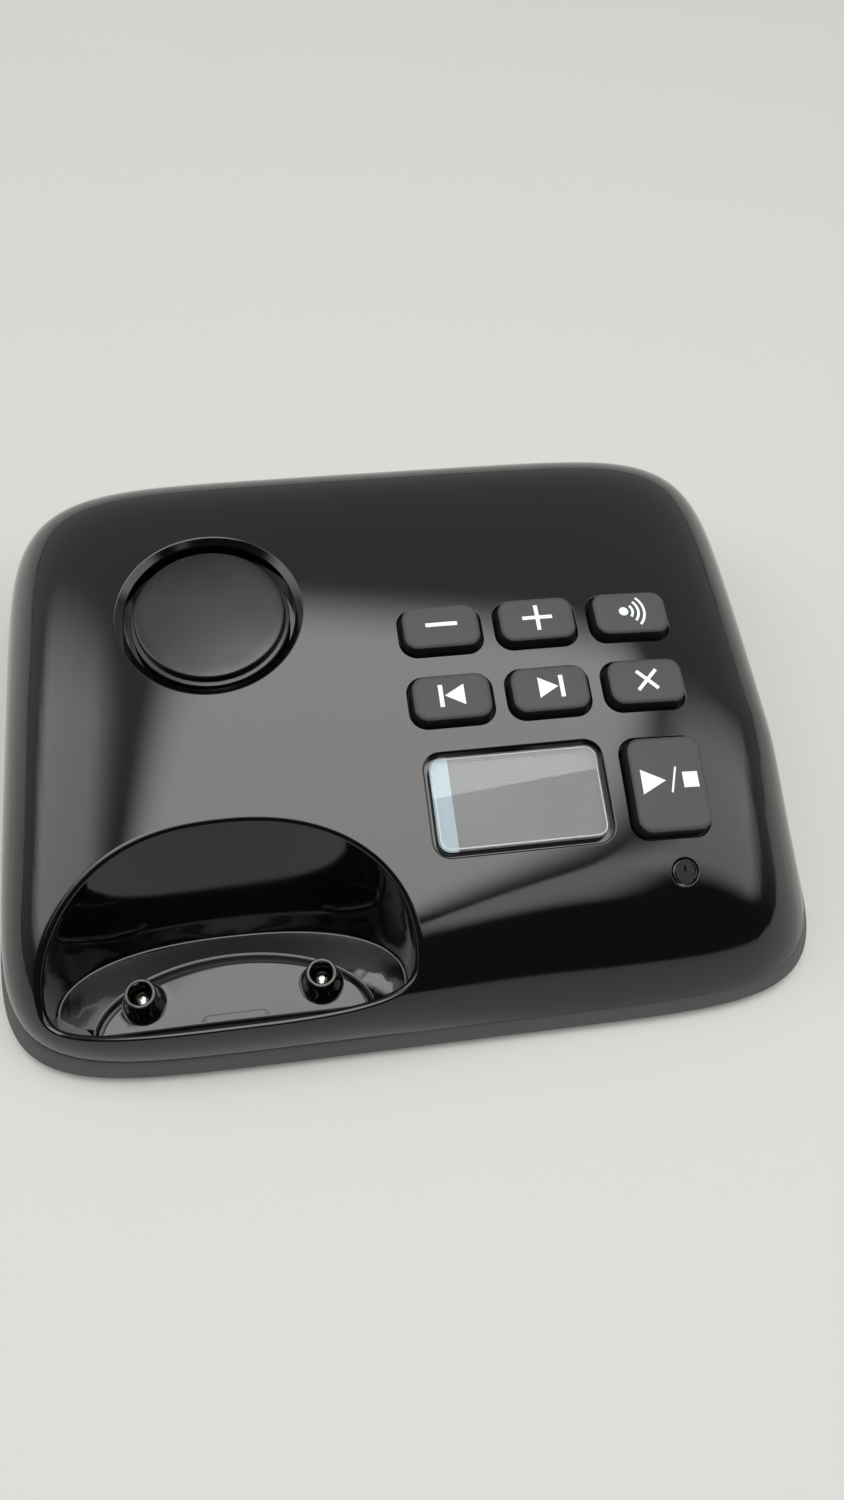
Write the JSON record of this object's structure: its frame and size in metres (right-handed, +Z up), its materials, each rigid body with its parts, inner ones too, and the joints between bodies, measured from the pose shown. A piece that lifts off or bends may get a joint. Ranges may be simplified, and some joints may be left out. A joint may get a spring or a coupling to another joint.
{
  "type": "answering machine",
  "caption": "Low pebble-shaped gloss black telephone answering base with a handset charging well, round speaker cover, message keys and a small display window",
  "frame": {"origin": "centre of the footprint, on the table under the rubber feet", "axes": "+X to the right seen from the user, +Y away from the user to the sockets, +Z up"},
  "size_m": [0.128, 0.101, 0.0309],
  "materials": {
    "shell_gloss": "polished",
    "disc_gloss": "polished",
    "base_matte": "fine texture",
    "foot_rubber": "matte",
    "key_silicone": "matte coated",
    "mat_silicone": "matte",
    "lens_acrylic": "clear, bevelled edge",
    "display_dark": "smooth",
    "display_pale": "smooth",
    "display_body": "smooth",
    "screw_steel": "zinc plated",
    "contact_nickel": "nickel plated",
    "spring_steel": "drawn wire",
    "contact_gold": "gold flash",
    "board_fibreglass": "solder mask",
    "gasket_foam": "open foam",
    "speaker_steel": "zinc plated",
    "cone_paper": "pressed paper",
    "magnet_ferrite": "ground ferrite",
    "lead_wire": "insulated wire",
    "can_steel": "tinned",
    "chip_epoxy": "moulded",
    "capacitor_sleeve": "shrink sleeve",
    "socket_nylon": "moulded",
    "ribbon_vinyl": "flat cable",
    "connector_nylon": "moulded",
    "mic_rubber": "smooth",
    "mic_metal": "drawn can"
  },
  "bodies": {
    "housing": {"top_cover": "shell_gloss", "bottom_cover": "base_matte", "rubber_feet": "foot_rubber", "case_screws": "screw_steel", "speaker_cover": "disc_gloss", "speaker_gasket": "gasket_foam", "speaker_frame": "speaker_steel", "speaker_cone": "cone_paper", "speaker_magnet": "magnet_ferrite", "speaker_leads": "lead_wire", "keypad_mat": "mat_silicone", "key_board": "board_fibreglass", "key_contacts": "contact_gold", "key_board_screws": "screw_steel", "display_lens": "lens_acrylic", "display_strip": "display_pale", "display_face": "display_dark", "display_module": "display_body", "contact_carrier": "shell_gloss", "contact_spring_left": "spring_steel", "contact_spring_right": "spring_steel", "contact_pads": "contact_gold", "microphone_boot": "mic_rubber", "microphone_capsule": "mic_metal", "main_board": "board_fibreglass", "main_board_screws": "screw_steel", "shield_can": "can_steel", "processor_chips": "chip_epoxy", "capacitors": "capacitor_sleeve", "antennas": "can_steel", "crystal": "can_steel", "line_socket": "socket_nylon", "line_socket_wires": "contact_gold", "power_socket": "socket_nylon", "power_socket_pin": "contact_nickel", "ribbon_cable": "ribbon_vinyl", "ribbon_connectors": "connector_nylon"},
    "key_volume_down_body": {"key_volume_down": "key_silicone"},
    "key_volume_up_body": {"key_volume_up": "key_silicone"},
    "key_page_body": {"key_page": "key_silicone"},
    "key_previous_body": {"key_previous": "key_silicone"},
    "key_next_body": {"key_next": "key_silicone"},
    "key_delete_body": {"key_delete": "key_silicone"},
    "key_play_stop_body": {"key_play_stop": "key_silicone"},
    "contact_pin_left_body": {"contact_pin_left": "contact_nickel"},
    "contact_pin_right_body": {"contact_pin_right": "contact_nickel"}
  },
  "joints": [
    {"name": "key_volume_down_press", "type": "slide", "parent": "housing", "child": "key_volume_down_body", "axis": [-0.0018, 0.0899, -0.996], "range_m": [0, 0.001], "stiffness_N_per_m": 800},
    {"name": "key_volume_up_press", "type": "slide", "parent": "housing", "child": "key_volume_up_body", "axis": [-0.0071, 0.0898, -0.9959], "range_m": [0, 0.001], "stiffness_N_per_m": 800},
    {"name": "key_page_press", "type": "slide", "parent": "housing", "child": "key_page_body", "axis": [-0.0566, 0.0888, -0.9944], "range_m": [0, 0.001], "stiffness_N_per_m": 800},
    {"name": "key_previous_press", "type": "slide", "parent": "housing", "child": "key_previous_body", "axis": [-0.0017, 0.1311, -0.9914], "range_m": [0, 0.001], "stiffness_N_per_m": 800},
    {"name": "key_next_press", "type": "slide", "parent": "housing", "child": "key_next_body", "axis": [-0.0069, 0.1311, -0.9913], "range_m": [0, 0.001], "stiffness_N_per_m": 800},
    {"name": "key_delete_press", "type": "slide", "parent": "housing", "child": "key_delete_body", "axis": [-0.0537, 0.1296, -0.9901], "range_m": [0, 0.001], "stiffness_N_per_m": 800},
    {"name": "key_play_stop_press", "type": "slide", "parent": "housing", "child": "key_play_stop_body", "axis": [-0.0498, 0.1945, -0.9796], "range_m": [0, 0.001], "stiffness_N_per_m": 800},
    {"name": "contact_pin_left_press", "type": "slide", "parent": "housing", "child": "contact_pin_left_body", "axis": [0, 0, -1], "range_m": [0, 0.0008], "stiffness_N_per_m": 500, "deforming": ["contact_spring_left"]},
    {"name": "contact_pin_right_press", "type": "slide", "parent": "housing", "child": "contact_pin_right_body", "axis": [0, 0, -1], "range_m": [0, 0.0008], "stiffness_N_per_m": 500, "deforming": ["contact_spring_right"]}
  ]
}
